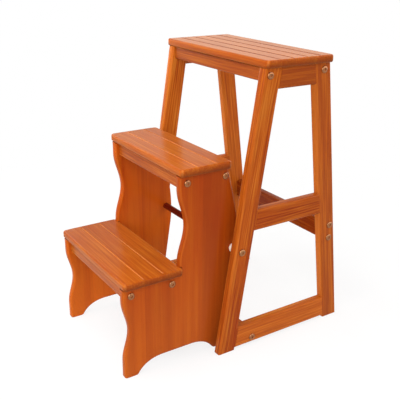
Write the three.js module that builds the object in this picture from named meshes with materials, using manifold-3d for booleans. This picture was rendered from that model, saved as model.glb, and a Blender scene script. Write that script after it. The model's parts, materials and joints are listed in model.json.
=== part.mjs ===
// A folding three-step stool chair in lacquered wood. A stand of two leaning side frames carries the top
// tread. A two-step unit of shaped side panels hangs between the frames on a pivot rod, and swings up and
// over the rod, half a turn, to lie inside the stand.
// Millimetres. X runs across the stool, Y from the steps to the back, Z up. The origin lies on the floor,
// in the middle of the stool's outer box.
import * as THREE from "three";
import { mergeVertices } from "three/addons/utils/BufferGeometryUtils.js";
import Module from "manifold-3d";

const wasm = await Module();
wasm.setup();

// Driving sizes of the stand
const topHeight = 630;
const standWidth = 364;
const standDepth = 346;
const frontLeanDegrees = 8.6;
const rearLeanDegrees = 7.7;
const stileThickness = 20;
const stileWidth = 42;

// Treads, each glued up from boards with eased edges
const treadThickness = 16;
const treadCorner = 6;
const boardEase = 2;
const topTreadLength = 380;
const topTreadDepth = 174;
const topTreadFrontLip = 1;
const topBoardCount = 5;
const unitTreadLength = 314;
const lowerBoardCount = 3;
const treadBoardWidth = 45;
const middleFrontBoardWidth = 40;
const middleRearBoardWidth = 35;
const lowerTreadTop = 220;
const middleTreadTop = 431;
const treadGoing = 130;

// Side frame rails
const railThickness = 20;
const topRailHeight = 43;
const middleRailHeight = 47;
const middleRailTop = 324;
const bottomRailHeight = 50;
const bottomRailClearance = 5;
const railEase = 2.5;
const tenonThickness = 8;
const tenonLength = 15;
const tenonShoulder = 8;

// Bars and rails that run across
const standBarHeight = 28;
const unitBarHeight = 31;
const barThickness = 16;
const barEase = 2;
const topFrontBarShift = 6.1;
const topRearBarShift = 2.1;
const unitFrontBarInset = 18;
const lowerRearBarInset = 23;
const middleRearBarInset = 11;
const crossRailHeight = 44;
const crossRailThickness = 16;
const crossRailShift = 4.8;
const crossRailScrewSpacing = 31;
const stretcherSetback = 43;

// Side panels of the step unit
const panelThickness = 16;
const panelSpacing = 265;
const panelEase = 3;
const footWidth = 31;
const archHeight = 28;
const archShoulder = 56;
const lowerWaistDepth = 13;
const lowerWaistLow = 40;
const lowerWaistBelowSeat = 27.8;
const upperWaistDepth = 16;
const upperWaistAboveTread = 7;
const upperWaistBelowSeat = 26.8;
const heelInset = 14;
const kneeHeight = 190;
const kneeHandle = 70;
const shoulderHandle = 70;
const shoulderLeanDegrees = 15.6;
const panelRearSetback = 5;

// Pivot
const pivotHeight = 235;
const pivotInset = 17;
const unitReach = 262;
const rodDiameter = 15;
const rodSeatDepth = 5;
const insertDiameter = 10;
const insertLength = 24;
const pivotBoltDiameter = 6;
const pivotHeadDiameter = 15;
const pivotHeadHeight = 3.5;
const spacerDiameter = 21;

// Connector screws with low hexagon-socket heads
const screwDiameter = 7;
const screwLength = 50;
const screwHeadDiameter = 15;
const screwHeadHeight = 3;
const headRound = 1.2;
const tipTaper = 2;
const socketWidth = 5;
const socketDepth = 2;

// Clearances
const fitGap = 0.2;
const runGap = 0.08;
const sideGap = 0.3;
const foldRestGap = 0.4;
const overrun = 4;
const weldTolerance = 1e-4;

// How finely round stretches are cut
const roundSides = 16;
const rodSides = 20;
const waistSteps = 12;
const curveSteps = 10;
const cornerSteps = 3;
const easeSteps = 2;

// The arch's first curve, as shares of its shoulder and its height
const archStartShares = [0.18, 0.5];
const archCrownShares = [0.43, 0.96];

const slopeOf = (degrees) => Math.tan(THREE.MathUtils.degToRad(degrees));
const frontSlope = slopeOf(frontLeanDegrees);
const rearSlope = slopeOf(rearLeanDegrees);
const frontStileRun = stileWidth / Math.cos(THREE.MathUtils.degToRad(frontLeanDegrees));
const rearStileRun = stileWidth / Math.cos(THREE.MathUtils.degToRad(rearLeanDegrees));

// Where things stand along Y
const pivotFromFoot = frontSlope * pivotHeight + pivotInset;
const overallDepth = standDepth + unitReach - pivotFromFoot;
const rearFootY = overallDepth / 2;
const frontFootY = rearFootY - standDepth;
const pivotY = frontFootY + pivotFromFoot;
const lowerTreadFrontY = pivotY - unitReach;
const lowerTreadRearY = lowerTreadFrontY + lowerBoardCount * treadBoardWidth;
const middleTreadFrontY = lowerTreadFrontY + treadGoing;
const middleTreadDepth = middleFrontBoardWidth + treadBoardWidth + middleRearBoardWidth;
const middleTreadRearY = middleTreadFrontY + middleTreadDepth;

// The long edges and middle lines of a side frame's stiles, as Y at a height
const frontStileFront = (z) => frontFootY + frontSlope * z;
const frontStileRear = (z) => frontStileFront(z) + frontStileRun;
const rearStileRear = (z) => rearFootY - rearSlope * z;
const rearStileFront = (z) => rearStileRear(z) - rearStileRun;
const frontStileMiddle = (z) => frontStileFront(z) + frontStileRun / 2;
const rearStileMiddle = (z) => rearStileRear(z) - rearStileRun / 2;

// Heights of the stand's pieces, and where its side frames stand along X
const standTop = topHeight - treadThickness - fitGap;
const topTreadFrontY = frontStileFront(standTop) - topTreadFrontLip;
const stileOuterX = standWidth / 2;
const stileInnerX = stileOuterX - stileThickness;
const railMiddleX = (stileInnerX + stileOuterX) / 2;
const railInnerX = railMiddleX - railThickness / 2;
const railOuterX = railMiddleX + railThickness / 2;

// The folded unit lies upside down: its lower tread's face comes to rest just over the cross rail, after the
// middle tread's front edge has swung past the rail's face
const crossRailTop = 2 * pivotHeight - lowerTreadTop - foldRestGap;

const panelInnerX = panelSpacing / 2;
const panelOuterX = panelInnerX + panelThickness;
const unitFrameTop = (treadTop) => treadTop - treadThickness - fitGap;

const lacquer = { roughness: 0.3, metalness: 0 };
const frameWood = () => new THREE.MeshStandardMaterial({ color: 0xb4501a, ...lacquer });
const treadWood = () => new THREE.MeshStandardMaterial({ color: 0xcd7433, ...lacquer });
const rodWood = () => new THREE.MeshStandardMaterial({ color: 0x7a2410, ...lacquer });
const plate = { roughness: 0.3, metalness: 1 };
const screwSteel = () => new THREE.MeshStandardMaterial({ color: 0xc9c4bc, ...plate });
const boltBronze = () => new THREE.MeshStandardMaterial({ color: 0xa8743f, ...plate });
const insertBrass = () => new THREE.MeshStandardMaterial({ color: 0xb8963f, ...plate });
const nylon = () => new THREE.MeshStandardMaterial({ color: 0xf2e3d3, roughness: 0.5, metalness: 0 });

// A closed geometry as a solid that can be cut and joined, and a solid as a geometry
function solidOf(geometry) {
  geometry.deleteAttribute("normal");
  geometry.deleteAttribute("uv");
  const merged = mergeVertices(geometry, weldTolerance);
  const mesh = new wasm.Mesh({
    numProp: 3,
    vertProperties: merged.attributes.position.array,
    triVerts: new Uint32Array(merged.index.array),
  });
  return new wasm.Manifold(mesh);
}

function geometryOf(solid) {
  const mesh = solid.getMesh();
  const geometry = new THREE.BufferGeometry();
  geometry.setAttribute("position", new THREE.BufferAttribute(mesh.vertProperties, 3));
  geometry.setIndex(new THREE.BufferAttribute(mesh.triVerts, 1));
  const faceted = geometry.toNonIndexed();
  faceted.computeVertexNormals();
  return faceted;
}

function addSolid(parent, name, solid, material) {
  const mesh = new THREE.Mesh(geometryOf(solid), material);
  mesh.name = name;
  parent.add(mesh);
  return mesh;
}

// Extrusions: an outline in Y and Z carried along X, and one in X and Z carried along Y. An ease rounds the
// edges of the two end faces and leaves the outline where it is.
const outlineAlongX = new THREE.Matrix4().makeBasis(
  new THREE.Vector3(0, 1, 0),
  new THREE.Vector3(0, 0, 1),
  new THREE.Vector3(1, 0, 0),
);
const outlineAlongY = new THREE.Matrix4().makeBasis(
  new THREE.Vector3(1, 0, 0),
  new THREE.Vector3(0, 0, 1),
  new THREE.Vector3(0, -1, 0),
);

function easedExtrusion(shape, low, high, ease) {
  const geometry = new THREE.ExtrudeGeometry(shape, {
    depth: high - low - 2 * ease,
    bevelEnabled: ease > 0,
    bevelThickness: ease,
    bevelSize: ease,
    bevelOffset: -ease,
    bevelSegments: easeSteps,
    curveSegments: curveSteps,
  });
  geometry.translate(0, 0, low + ease);
  return geometry;
}

function sideSolid(shape, lowX, highX, ease = 0) {
  return solidOf(easedExtrusion(shape, lowX, highX, ease).applyMatrix4(outlineAlongX));
}

function boreAlongX(lowX, highX, y, z, radius) {
  const geometry = new THREE.CylinderGeometry(radius, radius, highX - lowX, roundSides);
  geometry.rotateZ(-Math.PI / 2);
  geometry.translate((lowX + highX) / 2, y, z);
  return solidOf(geometry);
}

// A faceted bore whose flats still clear a shaft of this diameter
function clearRadius(diameter, gap) {
  return (diameter / 2 + gap) / Math.cos(Math.PI / roundSides);
}

function polygon(points) {
  return new THREE.Shape(points.map(([u, v]) => new THREE.Vector2(u, v)));
}

function easedRectangle(lowU, highU, lowV, highV, ease) {
  return polygon([
    [lowU + ease, lowV],
    [highU - ease, lowV],
    [highU, lowV + ease],
    [highU, highV - ease],
    [highU - ease, highV],
    [lowU + ease, highV],
    [lowU, highV - ease],
    [lowU, lowV + ease],
  ]);
}

// Board of a tread, with the tread's corners rounded where this board holds them
function boardOutline(length, frontY, rearY, frontCorner, rearCorner) {
  const half = length / 2;
  const shape = new THREE.Shape();
  shape.moveTo(-half + frontCorner, frontY);
  shape.lineTo(half - frontCorner, frontY);
  if (frontCorner) {
    shape.absarc(half - frontCorner, frontY + frontCorner, frontCorner, -Math.PI / 2, 0);
  }
  shape.lineTo(half, rearY - rearCorner);
  if (rearCorner) {
    shape.absarc(half - rearCorner, rearY - rearCorner, rearCorner, 0, Math.PI / 2);
  }
  shape.lineTo(-half + rearCorner, rearY);
  if (rearCorner) {
    shape.absarc(-half + rearCorner, rearY - rearCorner, rearCorner, Math.PI / 2, Math.PI);
  }
  shape.lineTo(-half, frontY + frontCorner);
  if (frontCorner) {
    shape.absarc(-half + frontCorner, frontY + frontCorner, frontCorner, Math.PI, 1.5 * Math.PI);
  }
  return polygon(shape.getPoints(cornerSteps).map((point) => [point.x, point.y]));
}

function addTread(parent, name, length, frontY, topZ, boardWidths) {
  let edgeY = frontY;
  boardWidths.forEach((width, index) => {
    const isFirst = index === 0;
    const isLast = index === boardWidths.length - 1;
    const rearY = edgeY + width - (isLast ? 0 : fitGap);
    const frontCorner = isFirst ? treadCorner : 0;
    const rearCorner = isLast ? treadCorner : 0;
    const outline = boardOutline(length, edgeY, rearY, frontCorner, rearCorner);
    const board = easedExtrusion(outline, topZ - treadThickness, topZ, boardEase);
    addSolid(parent, `${name}_board_${index + 1}`, solidOf(board), treadWood());
    edgeY += width;
  });
}

// The space between a side frame's stiles over a stretch of height, reaching into both stiles
function betweenStiles(lowZ, highZ, reach) {
  return polygon([
    [frontStileRear(lowZ) - reach, lowZ],
    [rearStileFront(lowZ) + reach, lowZ],
    [rearStileFront(highZ) + reach, highZ],
    [frontStileRear(highZ) - reach, highZ],
  ]);
}

const frameRails = {
  top_rail: [standTop - topRailHeight, standTop],
  middle_rail: [middleRailTop - middleRailHeight, middleRailTop],
  bottom_rail: [bottomRailClearance, bottomRailClearance + bottomRailHeight],
};

function tenonSolid([lowZ, highZ], side, gap) {
  const outline = betweenStiles(lowZ + tenonShoulder - gap, highZ - tenonShoulder + gap, tenonLength + gap);
  const middleX = side * railMiddleX;
  const halfThickness = tenonThickness / 2 + gap;
  return sideSolid(outline, middleX - halfThickness, middleX + halfThickness);
}

function railSolid([lowZ, highZ], side) {
  const lowX = side * railMiddleX - railThickness / 2;
  const highX = side * railMiddleX + railThickness / 2;
  const lengthwise = easedRectangle(lowX, highX, lowZ, highZ, railEase);
  const alongY = easedExtrusion(lengthwise, -rearFootY, rearFootY, 0).applyMatrix4(outlineAlongY);
  const body = sideSolid(betweenStiles(lowZ, highZ, -fitGap), lowX - overrun, highX + overrun);
  return solidOf(alongY).intersect(body).add(tenonSolid([lowZ, highZ], side, 0));
}

function stileSolid(frontEdge, rearEdge, side) {
  const outline = polygon([
    [frontEdge(0), 0],
    [rearEdge(0), 0],
    [rearEdge(standTop), standTop],
    [frontEdge(standTop), standTop],
  ]);
  const middleX = side * railMiddleX;
  const halfThickness = stileThickness / 2;
  const whole = sideSolid(outline, middleX - halfThickness, middleX + halfThickness, railEase);
  return Object.values(frameRails).reduce(
    (solid, span) => solid.subtract(tenonSolid(span, side, fitGap)),
    whole,
  );
}

// Screws and bolts lie along X, heads outwards. Their geometry has the head's seat at the origin and the
// shank down the Y axis.
function headedFastener(shankDiameter, length, headDiameter, headHeight) {
  const shankRadius = shankDiameter / 2;
  const headRadius = headDiameter / 2;
  const profile = [
    [0, -length],
    [shankRadius - tipTaper / 2, -length],
    [shankRadius, -length + tipTaper],
    [shankRadius, 0],
    [headRadius, 0],
    [headRadius, headHeight - headRound],
    [headRadius - headRound, headHeight],
    [0, headHeight],
  ].map(([radius, height]) => new THREE.Vector2(radius, height));
  const body = solidOf(new THREE.LatheGeometry(profile, roundSides));
  const socketRadius = socketWidth / 2 / Math.cos(Math.PI / 6);
  const socket = new THREE.CylinderGeometry(socketRadius, socketRadius, 2 * socketDepth, 6);
  socket.translate(0, headHeight, 0);
  return geometryOf(body.subtract(solidOf(socket)));
}

function placeAlongX(parent, name, geometry, material, side, seatX, y, z) {
  const mesh = new THREE.Mesh(geometry, material);
  mesh.name = name;
  mesh.rotation.z = (-side * Math.PI) / 2;
  mesh.position.set(side * seatX, y, z);
  parent.add(mesh);
}

function ringGeometry(outerDiameter, innerRadius, length) {
  const outerRadius = outerDiameter / 2;
  const profile = [
    [innerRadius, 0],
    [outerRadius, 0],
    [outerRadius, length],
    [innerRadius, length],
    [innerRadius, 0],
  ].map(([radius, height]) => new THREE.Vector2(radius, height));
  return new THREE.LatheGeometry(profile, roundSides);
}

const screwGeometry = headedFastener(screwDiameter, screwLength, screwHeadDiameter, screwHeadHeight);
const screwHoleRadius = clearRadius(screwDiameter, fitGap);
const sides = { left: -1, right: 1 };

// Where each bar that runs across is screwed: its middle in Y and Z
const topBarZ = standTop - standBarHeight / 2;
const lowerBarZ = unitFrameTop(lowerTreadTop) - unitBarHeight / 2;
const middleBarZ = unitFrameTop(middleTreadTop) - unitBarHeight / 2;
const stretcherZ = bottomRailClearance + standBarHeight / 2;
const crossRailMiddleZ = crossRailTop - crossRailHeight / 2;
const crossRailMiddleY = rearStileMiddle(crossRailMiddleZ) + crossRailShift;

const standBars = {
  top_front: [frontStileMiddle(topBarZ) - topFrontBarShift, topBarZ],
  top_rear: [rearStileMiddle(topBarZ) + topRearBarShift, topBarZ],
};
const stretcherPlace = [frontStileRear(stretcherZ) + stretcherSetback, stretcherZ];
const crossRailScrews = {
  cross_rail_upper: [crossRailMiddleY, crossRailMiddleZ + crossRailScrewSpacing / 2],
  cross_rail_lower: [crossRailMiddleY, crossRailMiddleZ - crossRailScrewSpacing / 2],
};
const unitBars = {
  lower_front: [lowerTreadFrontY + unitFrontBarInset, lowerBarZ],
  lower_rear: [lowerTreadRearY - lowerRearBarInset, lowerBarZ],
  middle_front: [middleTreadFrontY + unitFrontBarInset, middleBarZ],
  middle_rear: [middleTreadRearY - middleRearBarInset, middleBarZ],
};

// A bar across the stool, with a pilot bore in each end for every screw
function crossBarSolid(halfLength, middleY, middleZ, thickness, height, screws, screwReach) {
  const lowZ = middleZ - height / 2;
  const highZ = middleZ + height / 2;
  const outline = easedRectangle(middleY - thickness / 2, middleY + thickness / 2, lowZ, highZ, barEase);
  let solid = sideSolid(outline, -halfLength, halfLength);
  for (const side of Object.values(sides)) {
    for (const [y, z] of screws) {
      const inner = side * (halfLength - screwReach - fitGap);
      const outer = side * (halfLength + overrun);
      const lowX = Math.min(inner, outer);
      const highX = Math.max(inner, outer);
      solid = solid.subtract(boreAlongX(lowX, highX, y, z, screwHoleRadius));
    }
  }
  return solid;
}

function addScrews(parent, places, seatX) {
  for (const [sideName, side] of Object.entries(sides)) {
    for (const [placeName, [y, z]] of Object.entries(places)) {
      const name = `${sideName}_${placeName}_screw`;
      placeAlongX(parent, name, screwGeometry, screwSteel(), side, seatX + fitGap, y, z);
    }
  }
}

function drilled(solid, lowX, highX, places, radius) {
  return places.reduce(
    (left, [y, z]) => left.subtract(boreAlongX(lowX - overrun, highX + overrun, y, z, radius)),
    solid,
  );
}

// The stand: two side frames, the bars between them and the top tread
const stand = new THREE.Group();
const pivotPlace = [pivotY, pivotHeight];
const pivotHoleRadius = clearRadius(pivotBoltDiameter, runGap);

for (const [sideName, side] of Object.entries(sides)) {
  const lowX = Math.min(side * stileInnerX, side * stileOuterX);
  const highX = Math.max(side * stileInnerX, side * stileOuterX);
  const frontBlank = stileSolid(frontStileFront, frontStileRear, side);
  const frontScrewed = drilled(frontBlank, lowX, highX, [standBars.top_front], screwHoleRadius);
  const frontStile = drilled(frontScrewed, lowX, highX, [pivotPlace], pivotHoleRadius);
  addSolid(stand, `${sideName}_front_stile`, frontStile, frameWood());

  const rearPlaces = [standBars.top_rear, ...Object.values(crossRailScrews)];
  const rearBlank = stileSolid(rearStileFront, rearStileRear, side);
  const rearStile = drilled(rearBlank, lowX, highX, rearPlaces, screwHoleRadius);
  addSolid(stand, `${sideName}_rear_stile`, rearStile, frameWood());

  for (const [railName, span] of Object.entries(frameRails)) {
    const places = railName === "bottom_rail" ? [stretcherPlace] : [];
    const rail = drilled(railSolid(span, side), lowX, highX, places, screwHoleRadius);
    addSolid(stand, `${sideName}_${railName}`, rail, frameWood());
  }
}

const standBarHalf = stileInnerX - fitGap;
const standScrewReach = screwLength - stileThickness;
for (const [name, place] of Object.entries(standBars)) {
  const [y, z] = place;
  const bar = crossBarSolid(standBarHalf, y, z, barThickness, standBarHeight, [place], standScrewReach);
  addSolid(stand, `${name}_bar`, bar, frameWood());
}
const stretcher = crossBarSolid(
  railInnerX - fitGap,
  ...stretcherPlace,
  barThickness,
  standBarHeight,
  [stretcherPlace],
  screwLength - railThickness,
);
addSolid(stand, "front_stretcher", stretcher, frameWood());
const crossRail = crossBarSolid(
  standBarHalf,
  crossRailMiddleY,
  crossRailMiddleZ,
  crossRailThickness,
  crossRailHeight,
  Object.values(crossRailScrews),
  standScrewReach,
);
addSolid(stand, "rear_cross_rail", crossRail, frameWood());
addScrews(stand, { ...standBars, ...crossRailScrews }, stileOuterX);
addScrews(stand, { stretcher: stretcherPlace }, railOuterX);

const topBoardWidths = Array(topBoardCount).fill(topTreadDepth / topBoardCount);
addTread(stand, "top_tread", topTreadLength, topTreadFrontY, topHeight, topBoardWidths);

// Points of a smooth hollow in a straight upright edge, deepest half way up
function waistPoints(edgeY, depth, lowZ, highZ) {
  return Array.from({ length: waistSteps + 1 }, (_, step) => {
    const share = step / waistSteps;
    const hollow = (depth * (1 - Math.cos(2 * Math.PI * share))) / 2;
    return [edgeY + hollow, lowZ + share * (highZ - lowZ)];
  });
}

function curvePoints(start, startHandle, endHandle, end) {
  const corners = [start, startHandle, endHandle, end].map(([u, v]) => new THREE.Vector2(u, v));
  const curve = new THREE.CubicBezierCurve(...corners);
  return curve.getPoints(curveSteps).map((point) => [point.x, point.y]);
}

// The side panel's outline, from the front toe up the front edge, over the treads' seats and down the back
function panelOutline() {
  const toeY = lowerTreadFrontY;
  const upperFrontY = middleTreadFrontY;
  const lowerSeat = unitFrameTop(lowerTreadTop);
  const upperSeat = unitFrameTop(middleTreadTop);
  const heelY = pivotY - heelInset;
  const shoulderY = middleTreadRearY - panelRearSetback;
  const kneeY = heelY + frontSlope * kneeHeight;
  const backOfArchY = heelY - footWidth;
  const frontOfArchY = toeY + footWidth;

  const lowerWaistHigh = lowerSeat - lowerWaistBelowSeat;
  const upperWaistLow = lowerTreadTop + upperWaistAboveTread;
  const upperWaistHigh = upperSeat - upperWaistBelowSeat;
  const back = curvePoints(
    [shoulderY, upperSeat],
    [shoulderY + slopeOf(shoulderLeanDegrees) * shoulderHandle, upperSeat - shoulderHandle],
    [kneeY + frontSlope * kneeHandle, kneeHeight + kneeHandle],
    [kneeY, kneeHeight],
  );
  const [startShareY, startShareZ] = archStartShares;
  const [crownShareY, crownShareZ] = archCrownShares;
  const archEnd = (footY, inwards) =>
    curvePoints(
      [footY, 0],
      [footY + inwards * startShareY * archShoulder, startShareZ * archHeight],
      [footY + inwards * crownShareY * archShoulder, crownShareZ * archHeight],
      [footY + inwards * archShoulder, archHeight],
    );

  return polygon([
    [toeY, 0],
    ...waistPoints(toeY, lowerWaistDepth, lowerWaistLow, lowerWaistHigh),
    [toeY, lowerSeat],
    [lowerTreadRearY + fitGap, lowerSeat],
    [lowerTreadRearY + fitGap, lowerTreadTop + fitGap],
    [upperFrontY, lowerTreadTop + fitGap],
    ...waistPoints(upperFrontY, upperWaistDepth, upperWaistLow, upperWaistHigh),
    [upperFrontY, upperSeat],
    ...back,
    [heelY, 0],
    ...archEnd(backOfArchY, -1),
    ...archEnd(frontOfArchY, 1).reverse(),
  ]);
}

// The step unit: two side panels, the bars between them, two treads, and the rod that it turns on
const stepUnit = new THREE.Group();
const rodHalf = panelInnerX + rodSeatDepth;

for (const [sideName, side] of Object.entries(sides)) {
  const lowX = Math.min(side * panelInnerX, side * panelOuterX);
  const highX = Math.max(side * panelInnerX, side * panelOuterX);
  const blank = sideSolid(panelOutline(), lowX, highX, panelEase);
  const screwed = drilled(blank, lowX, highX, Object.values(unitBars), screwHoleRadius);
  const bored = drilled(screwed, lowX, highX, [pivotPlace], pivotHoleRadius);
  const rodSeat = boreAlongX(
    -rodHalf - fitGap,
    rodHalf + fitGap,
    ...pivotPlace,
    clearRadius(rodDiameter, fitGap),
  );
  addSolid(stepUnit, `${sideName}_side_panel`, bored.subtract(rodSeat), frameWood());
}

const unitBarHalf = panelInnerX - fitGap;
const unitScrewReach = screwLength - panelThickness;
for (const [name, place] of Object.entries(unitBars)) {
  const [y, z] = place;
  const bar = crossBarSolid(unitBarHalf, y, z, barThickness, unitBarHeight, [place], unitScrewReach);
  addSolid(stepUnit, `${name}_bar`, bar, frameWood());
}
addScrews(stepUnit, unitBars, panelOuterX);

const lowerBoardWidths = Array(lowerBoardCount).fill(treadBoardWidth);
addTread(stepUnit, "lower_tread", unitTreadLength, lowerTreadFrontY, lowerTreadTop, lowerBoardWidths);
const middleBoardWidths = [middleFrontBoardWidth, treadBoardWidth, middleRearBoardWidth];
addTread(stepUnit, "middle_tread", unitTreadLength, middleTreadFrontY, middleTreadTop, middleBoardWidths);

// The pivot rod ends in the panels and holds a threaded insert at each end. A bolt runs in from outside each
// front stile, through a spacer and the panel, into the insert.
const rodGeometry = new THREE.CylinderGeometry(rodDiameter / 2, rodDiameter / 2, 2 * rodHalf, rodSides);
rodGeometry.rotateZ(-Math.PI / 2);
rodGeometry.translate(0, ...pivotPlace);
const insertHoleRadius = clearRadius(insertDiameter, fitGap);
const rod = Object.values(sides).reduce((solid, side) => {
  const inner = side * (rodHalf - insertLength - fitGap);
  const outer = side * (rodHalf + overrun);
  const hole = [Math.min(inner, outer), Math.max(inner, outer)];
  return solid.subtract(boreAlongX(...hole, ...pivotPlace, insertHoleRadius));
}, solidOf(rodGeometry));
addSolid(stepUnit, "pivot_rod", rod, rodWood());

const boltReach = rodHalf - insertLength + tipTaper;
const pivotSeatX = stileOuterX + sideGap;
const pivotBolt = headedFastener(
  pivotBoltDiameter,
  pivotSeatX - boltReach,
  pivotHeadDiameter,
  pivotHeadHeight,
);
const insertGeometry = ringGeometry(insertDiameter, clearRadius(pivotBoltDiameter, fitGap), insertLength);
const spacerLength = stileInnerX - sideGap - panelOuterX - fitGap;
const spacerGeometry = ringGeometry(spacerDiameter, pivotHoleRadius, spacerLength);
for (const [sideName, side] of Object.entries(sides)) {
  const place = (name, geometry, material, seatX) =>
    placeAlongX(stepUnit, `${sideName}_${name}`, geometry, material, side, seatX, ...pivotPlace);
  place("pivot_bolt", pivotBolt, boltBronze(), pivotSeatX);
  place("rod_insert", insertGeometry, insertBrass(), rodHalf - insertLength);
  place("spacer", spacerGeometry, nylon(), panelOuterX + fitGap);
}

const stool = new THREE.Group();
stool.add(stand, stepUnit);

export default stool;
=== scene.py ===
# %% [markdown]
# # A folding step stool in lacquered wood
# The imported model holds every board, rail, bar and screw of the stool at its real size and place.
# This script keeps that frame as it is and lays a finely rounded surface over each piece, with its
# wood, metal or plastic finish. Lengths are metres, and MM turns a size in millimetres into metres.

import json
import math

import bpy
import numpy as np
from mathutils import Matrix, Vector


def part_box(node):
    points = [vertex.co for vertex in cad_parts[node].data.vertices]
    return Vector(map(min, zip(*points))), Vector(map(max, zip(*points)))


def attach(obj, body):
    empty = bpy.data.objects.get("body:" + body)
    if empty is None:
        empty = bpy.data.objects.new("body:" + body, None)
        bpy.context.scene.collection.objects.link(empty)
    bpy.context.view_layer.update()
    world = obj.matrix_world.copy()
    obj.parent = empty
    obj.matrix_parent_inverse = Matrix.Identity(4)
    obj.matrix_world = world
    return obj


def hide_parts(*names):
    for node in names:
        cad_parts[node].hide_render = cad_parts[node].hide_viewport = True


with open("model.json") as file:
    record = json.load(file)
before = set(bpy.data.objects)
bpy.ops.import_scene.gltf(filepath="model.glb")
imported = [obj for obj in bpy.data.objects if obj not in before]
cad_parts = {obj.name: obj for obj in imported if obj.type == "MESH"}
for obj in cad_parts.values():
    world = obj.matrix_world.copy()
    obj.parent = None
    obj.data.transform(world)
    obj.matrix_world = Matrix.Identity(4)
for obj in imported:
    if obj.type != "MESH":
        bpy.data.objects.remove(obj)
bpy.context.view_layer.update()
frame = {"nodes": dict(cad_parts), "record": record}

MM = 0.001
bodies = frame["record"]["behaviour"]["bodies"]
body_of = {node: body for body, members in bodies.items() for node in members}
print("frame:", len(body_of), "nodes on the bodies", sorted(bodies))


def box_of(node):
    """The low and the high corner of a node's box, as two rows of x, y and z."""
    return np.array([list(corner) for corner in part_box(node)])


# %% [markdown]
# ## The camera
# The picture looks at the stool's front from its right, a little above the seat. The direction,
# distance and focal length were worked out from the edges of the treads and from the feet, which all
# stand on one level floor. The image is 400 pixels square.

# %% Camera
# Azimuth, elevation and roll in degrees
camera_angles = (56.735, 21.116, 0.654)
camera_distance = 1.4967
camera_target = np.array([0, -0.0027, 0.2906])
focal_pixels = 654.67
image_pixels = 400
sensor_width_mm = 36


def view_axes(azimuth, elevation, roll=0):
    """Right, up and back directions of a viewer who looks at the origin from an azimuth and elevation
    in degrees. Back is (sin a cos e, -cos a cos e, sin e), and roll turns right and up about it."""
    azimuth, elevation, roll = np.radians([azimuth, elevation, roll])
    flat = math.cos(elevation)
    back = np.array([math.sin(azimuth) * flat, -math.cos(azimuth) * flat, math.sin(elevation)])
    level = np.array([math.cos(azimuth), math.sin(azimuth), 0])
    upright = np.cross(back, level)
    right = math.cos(roll) * level + math.sin(roll) * upright
    up = math.cos(roll) * upright - math.sin(roll) * level
    return right, up, back


def placed(axes, distance):
    """The matrix of three axes and a place, which lies at that distance back from the target."""
    matrix = np.eye(4)
    matrix[:3, :3] = np.stack(axes, axis=1)
    matrix[:3, 3] = camera_target + distance * axes[2]
    return Matrix(matrix.tolist())


camera_data = bpy.data.cameras.new("studio_camera")
camera_data.sensor_width = sensor_width_mm
camera_data.lens = focal_pixels * sensor_width_mm / image_pixels
camera = bpy.data.objects.new("studio_camera", camera_data)
camera.matrix_world = placed(view_axes(*camera_angles), camera_distance)
bpy.context.scene.collection.objects.link(camera)
bpy.context.scene.camera = camera
print(f"camera: {camera_data.lens:.1f} mm lens at", np.round(camera.matrix_world.translation, 3))

# %% [markdown]
# ## Colours and shader nodes
# Colours are written as a designer picks them, as sRGB hex values, and one function turns them into
# the linear light that shaders work in. One more adds a shader node: it sets the node's options, then
# each input by name, with a value or with another node's output. Three short ones after it make the
# nodes that come up most: maths, a change of range and a mix of colours.

# %% Colour and node helpers
def linear(hex_colour):
    """An sRGB colour such as "C0651F" as linear red, green, blue and alpha: c / 12.92 near black, and
    ((c + 0.055) / 1.055) ** 2.4 above."""
    srgb = np.array([int(hex_colour[i : i + 2], 16) for i in (0, 2, 4)]) / 255
    channels = np.where(srgb <= 0.04045, srgb / 12.92, ((srgb + 0.055) / 1.055) ** 2.4)
    return (*channels.tolist(), 1)


def add(tree, kind, inputs=None, **options):
    """Adds a shader node, sets its options and fills its inputs with values or links."""
    node = tree.nodes.new("ShaderNode" + kind)
    for option, value in options.items():
        setattr(node, option, value)
    for name, value in (inputs or {}).items():
        if isinstance(value, bpy.types.NodeSocket):
            tree.links.new(value, node.inputs[name])
        else:
            node.inputs[name].default_value = value
    return node


def maths(tree, operation, *values):
    """A sum, product or other maths on up to three values, each plain or another node's output."""
    return add(tree, "Math", dict(enumerate(values)), operation=operation).outputs[0]


def remapped(tree, value, new_range, old_range=(0.0, 1.0)):
    """A value carried from its old range to a new one, and held inside it."""
    ends = zip(("From Min", "From Max", "To Min", "To Max"), (*old_range, *new_range))
    return add(tree, "MapRange", {"Value": value, **dict(ends)}).outputs[0]


def mixed(tree, share, first, second, blend_type="MIX"):
    """Two colours mixed by a share of the second, or multiplied with each other."""
    inputs = {"Factor": share, 6: first, 7: second}
    return add(tree, "Mix", inputs, data_type="RGBA", blend_type=blend_type).outputs[2]


def new_material(name):
    """A material with an empty node tree and its output node."""
    material = bpy.data.materials.new(name)
    material.use_nodes = True
    material.node_tree.nodes.clear()
    output = material.node_tree.nodes.new("ShaderNodeOutputMaterial")
    return material, material.node_tree, output


def surfaced(material, output, inputs):
    """The material, with one Principled shader that has these inputs as its surface."""
    shader = add(material.node_tree, "BsdfPrincipled", inputs)
    material.node_tree.links.new(shader.outputs[0], output.inputs["Surface"])
    return material


# %% [markdown]
# ## The studio
# The stool stands on white paper in even studio light. The paper is a large sheet that the camera and
# the glossy surfaces see as white. Around the stool it is mixed with a little plain white that takes
# the light, so that the stool keeps a soft shadow. Farther out the mix fades, and the paper runs into
# the white background. Five large softboxes and a dim sky light the stool from all sides.

# %% Floor and sky
floor_half_size = 6.0
shadow_share = 0.2
shadow_fade = (0.45, 1.3)


def seen_as_background(tree):
    """One for camera rays and for mirrored or see-through ones, zero for the rays that light."""
    path = add(tree, "LightPath").outputs
    seen = maths(tree, "MAXIMUM", path["Is Camera Ray"], path["Is Glossy Ray"])
    return maths(tree, "MAXIMUM", seen, path["Is Transmission Ray"])


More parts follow.
